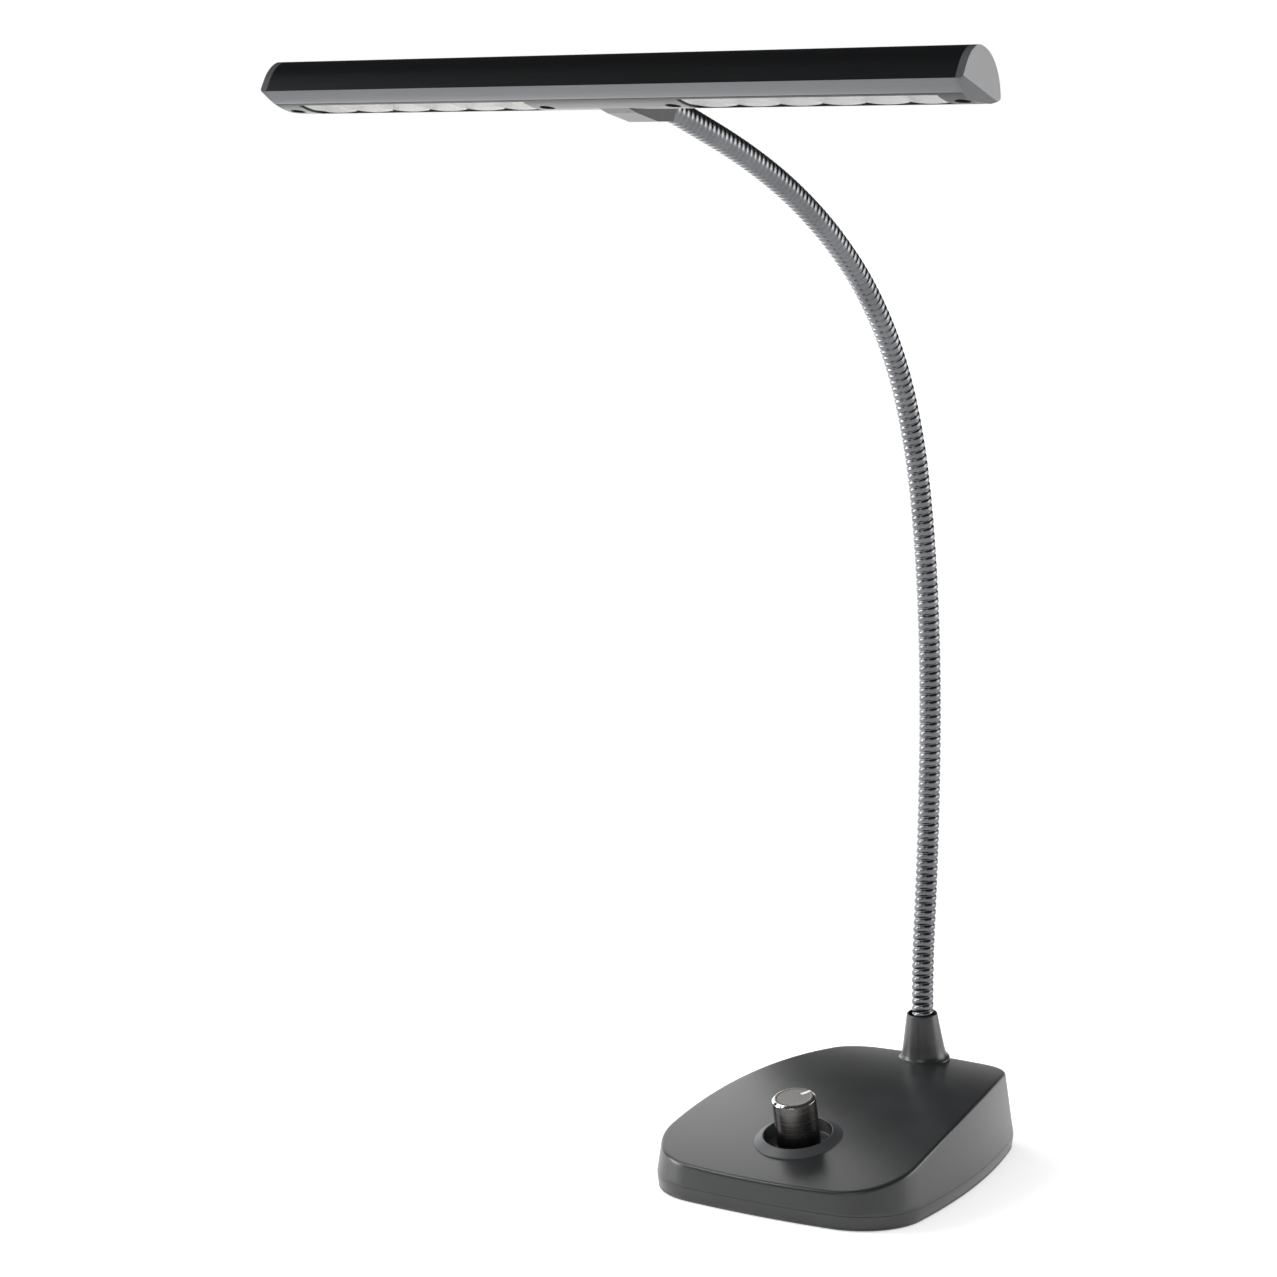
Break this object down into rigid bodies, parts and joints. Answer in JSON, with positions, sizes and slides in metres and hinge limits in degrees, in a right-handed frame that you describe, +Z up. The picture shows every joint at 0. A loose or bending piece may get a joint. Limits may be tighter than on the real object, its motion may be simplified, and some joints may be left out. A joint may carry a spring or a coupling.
{
  "type": "piano lamp",
  "caption": "Free-standing piano lamp: weighted wedge base with a rotary dimmer, ribbed flexible gooseneck and a long D-section LED head with two windows.",
  "frame": {"origin": "on the floor plane, on the base's symmetry plane, midway between the front and rear of the base", "axes": "X along the head to the player's right, Y from the player towards the rear, Z up"},
  "size_m": [0.3092, 0.2886, 0.4761],
  "materials": {
    "satin_black": "satin paint",
    "mat_rubber": "matt sheet",
    "iron": "as cast, painted dark",
    "zinc_steel": "zinc plated",
    "board_green": "solder mask",
    "part_black": "moulded",
    "capacitor_blue": "sleeve",
    "terminal_green": "moulded",
    "dark_steel": "blackened",
    "lead_red": "wire insulation",
    "lead_grey": "wire insulation",
    "collar_black": "fine satin",
    "shaft_brass": "turned",
    "knob_metal": "turned, black anodised, bright edge",
    "pointer_white": "filled line",
    "neck_black": "satin black wound steel",
    "lead_black": "cable sheath",
    "anodised_black": "black anodised",
    "reflector_white": "moulded white",
    "board_white": "white solder mask",
    "led_yellow": "phosphor, unlit"
  },
  "bodies": {
    "base": {"base_cover": "satin_black", "base_pan": "satin_black", "non_slip_mat": "mat_rubber", "ballast_block": "iron", "base_screws": "zinc_steel", "ballast_screws": "zinc_steel", "control_board": "board_green", "board_screws": "zinc_steel", "board_choke": "part_black", "board_capacitor": "capacitor_blue", "driver_chip": "part_black", "lead_terminal": "terminal_green", "power_inlet": "part_black", "inlet_pin": "zinc_steel", "inlet_nut": "dark_steel", "inlet_leads": "lead_red", "base_leads": "lead_grey", "knob_collar": "collar_black", "dimmer_case": "dark_steel", "dimmer_washer": "zinc_steel", "dimmer_nut": "zinc_steel", "neck_boot": "satin_black", "neck_stud": "zinc_steel", "neck_washer": "zinc_steel", "neck_nut": "zinc_steel", "neck_section_00": "neck_black", "neck_lead": "lead_black"},
    "dimmer": {"dimmer_shaft": "shaft_brass", "dimmer_knob": "knob_metal", "knob_pointer": "pointer_white", "knob_grub_screw": "dark_steel"},
    "neck_01": {"neck_section_01": "neck_black"},
    "neck_02": {"neck_section_02": "neck_black"},
    "neck_03": {"neck_section_03": "neck_black"},
    "neck_04": {"neck_section_04": "neck_black"},
    "neck_05": {"neck_section_05": "neck_black"},
    "neck_06": {"neck_section_06": "neck_black"},
    "neck_07": {"neck_section_07": "neck_black"},
    "neck_08": {"neck_section_08": "neck_black"},
    "neck_09": {"neck_section_09": "neck_black"},
    "neck_10": {"neck_section_10": "neck_black"},
    "neck_11": {"neck_section_11": "neck_black"},
    "head": {"neck_section_12": "neck_black", "neck_ferrule": "satin_black", "ferrule_grub_screw": "dark_steel", "head_extrusion": "anodised_black", "head_cover": "satin_black", "end_cap_left": "anodised_black", "end_cap_right": "anodised_black", "reflector_left": "reflector_white", "reflector_right": "reflector_white", "led_board_left": "board_white", "led_board_right": "board_white", "leds_left": "led_yellow", "leds_right": "led_yellow", "head_screws": "zinc_steel", "head_leads": "lead_red"}
  },
  "joints": [
    {"name": "bend_01", "type": "hinge", "parent": "base", "child": "neck_01", "pos_m": [0, 0.06724, 0.09689], "axis": [1, 0, 0], "range_deg": [-24, 13], "deforming": ["neck_lead"]},
    {"name": "sway_02", "type": "hinge", "parent": "neck_01", "child": "neck_02", "pos_m": [0, 0.06953, 0.13733], "axis": [0, 0.9994, -0.0349], "range_deg": [-20, 20]},
    {"name": "bend_03", "type": "hinge", "parent": "neck_02", "child": "neck_03", "pos_m": [0, 0.07024, 0.17782], "axis": [1, 0, 0], "range_deg": [-24, 13]},
    {"name": "sway_04", "type": "hinge", "parent": "neck_03", "child": "neck_04", "pos_m": [0, 0.06893, 0.21829], "axis": [0, 0.9979, 0.0645], "range_deg": [-20, 20]},
    {"name": "bend_05", "type": "hinge", "parent": "neck_04", "child": "neck_05", "pos_m": [0, 0.06474, 0.25856], "axis": [1, 0, 0], "range_deg": [-24, 13]},
    {"name": "sway_06", "type": "hinge", "parent": "neck_05", "child": "neck_06", "pos_m": [0, 0.05688, 0.29827], "axis": [0, 0.9694, 0.2453], "range_deg": [-20, 20]},
    {"name": "bend_07", "type": "hinge", "parent": "neck_06", "child": "neck_07", "pos_m": [0, 0.04292, 0.33621], "axis": [1, 0, 0], "range_deg": [-24, 13]},
    {"name": "sway_08", "type": "hinge", "parent": "neck_07", "child": "neck_08", "pos_m": [0, 0.02051, 0.36981], "axis": [0, 0.7524, 0.6587], "range_deg": [-20, 20]},
    {"name": "bend_09", "type": "hinge", "parent": "neck_08", "child": "neck_09", "pos_m": [0, -0.00934, 0.39706], "axis": [1, 0, 0], "range_deg": [-24, 13]},
    {"name": "sway_10", "type": "hinge", "parent": "neck_09", "child": "neck_10", "pos_m": [0, -0.04373, 0.41839], "axis": [0, 0.4633, 0.8862], "range_deg": [-20, 20]},
    {"name": "bend_11", "type": "hinge", "parent": "neck_10", "child": "neck_11", "pos_m": [0, -0.08064, 0.43498], "axis": [1, 0, 0], "range_deg": [-24, 13]},
    {"name": "bend_12", "type": "hinge", "parent": "neck_11", "child": "head", "pos_m": [0, -0.11902, 0.44789], "axis": [1, 0, 0], "range_deg": [-24, 13]},
    {"name": "dimmer_turn", "type": "hinge", "parent": "base", "child": "dimmer", "pos_m": [0, -0.04555, 0.02544], "axis": [0, -0.2256, 0.9742], "range_deg": [-121, 179]}
  ]
}
